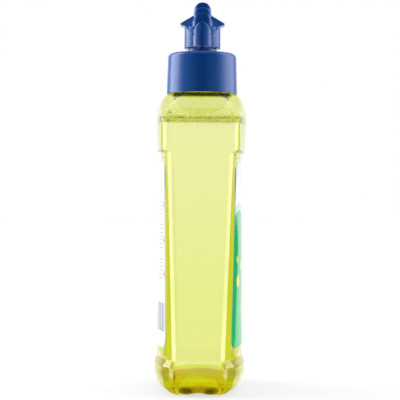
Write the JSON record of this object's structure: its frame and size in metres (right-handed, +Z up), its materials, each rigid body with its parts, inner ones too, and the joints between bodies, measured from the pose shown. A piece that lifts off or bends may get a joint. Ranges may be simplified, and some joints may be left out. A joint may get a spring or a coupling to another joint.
{
  "type": "rinse aid bottle",
  "caption": "Flat-sided clear bottle of yellow-green rinse aid with waisted label panels, blue screw cap and a winged push-pull spout.",
  "frame": {"origin": "centre of the base, on the plane of the rim that the bottle stands on", "axes": "+X across the width, -Y out of the front label, +Z up through the neck"},
  "size_m": [0.0786, 0.0512, 0.2189],
  "materials": {
    "clear_wall": "clear blow-moulded plastic, glossy",
    "rinse_liquid": "clear yellow-green liquid",
    "front_print": "printed self-adhesive film, satin",
    "back_print": "printed self-adhesive film, satin",
    "seal_foam": "closed-cell foam",
    "cap_plastic": "smooth glossy moulded plastic",
    "spout_plastic": "smooth glossy moulded plastic"
  },
  "bodies": {
    "bottle": {"bottle": "clear_wall", "liquid": "rinse_liquid", "front_label": "front_print", "back_label": "back_print"},
    "seal": {"sealing_ring": "seal_foam"},
    "cap": {"screw_cap": "cap_plastic"},
    "spout": {"spout": "spout_plastic"}
  },
  "joints": [
    {"name": "cap_lift", "type": "slide", "parent": "bottle", "child": "seal", "axis": [0, 0, 1], "range_m": [0, 0.00525]},
    {"name": "cap_turn", "type": "hinge", "parent": "seal", "child": "cap", "pos_m": [0, 0, 0.175], "axis": [0, 0, 1], "range_deg": [0, 450]},
    {"name": "spout_pull", "type": "slide", "parent": "cap", "child": "spout", "axis": [0, 0, 1], "range_m": [0, 0.005]}
  ],
  "couplings": [
    {"joint": "cap_lift", "follows": "cap_turn", "m_per_rad": 0.00066845}
  ]
}
